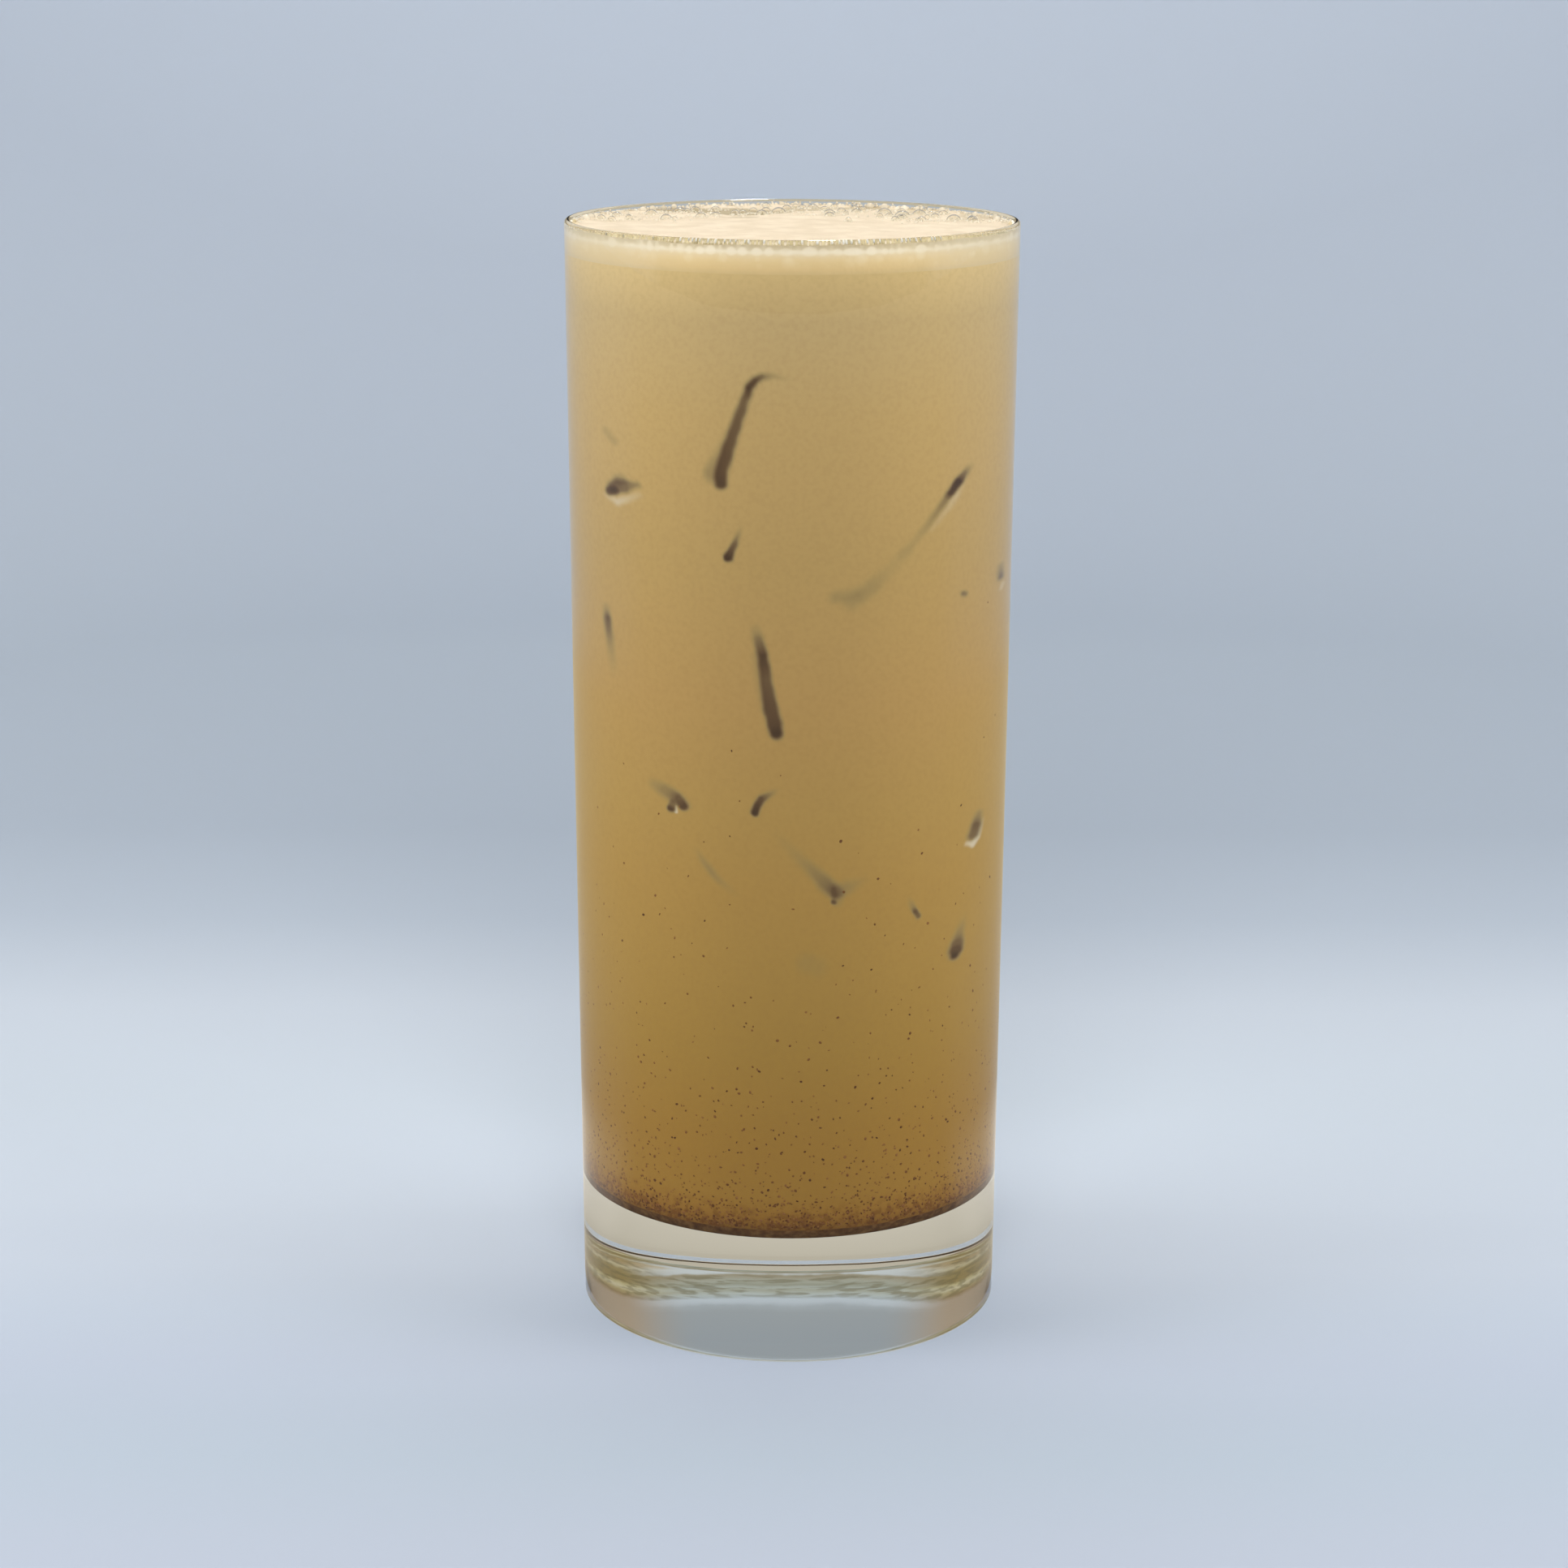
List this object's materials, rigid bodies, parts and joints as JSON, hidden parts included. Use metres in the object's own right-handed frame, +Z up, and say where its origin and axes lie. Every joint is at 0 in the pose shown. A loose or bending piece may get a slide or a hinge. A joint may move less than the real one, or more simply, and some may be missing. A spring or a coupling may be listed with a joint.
{
  "type": "iced chai in a tall glass",
  "caption": "Tall straight tapered glass with a thick clear foot, filled nearly to the brim with iced milky chai under a layer of fine foam.",
  "frame": {"origin": "centre of the foot, on the plane that the glass stands on", "axes": "+Z up the glass's axis, towards the rim"},
  "size_m": [0.0642, 0.0642, 0.16],
  "materials": {
    "glass": "clear polished soda-lime glass",
    "chai": "opaque milky tea, lighter at the top, browner and speckled low down",
    "foam": "fine cream froth with larger wet bubbles along the wall",
    "spice": "fine dark ground spice",
    "ice": "clear melting ice, wholly sunk"
  },
  "bodies": {
    "root": {"glass": "glass", "settled_spice": "spice", "chai": "chai", "foam": "foam"}
  },
  "joints": []
}
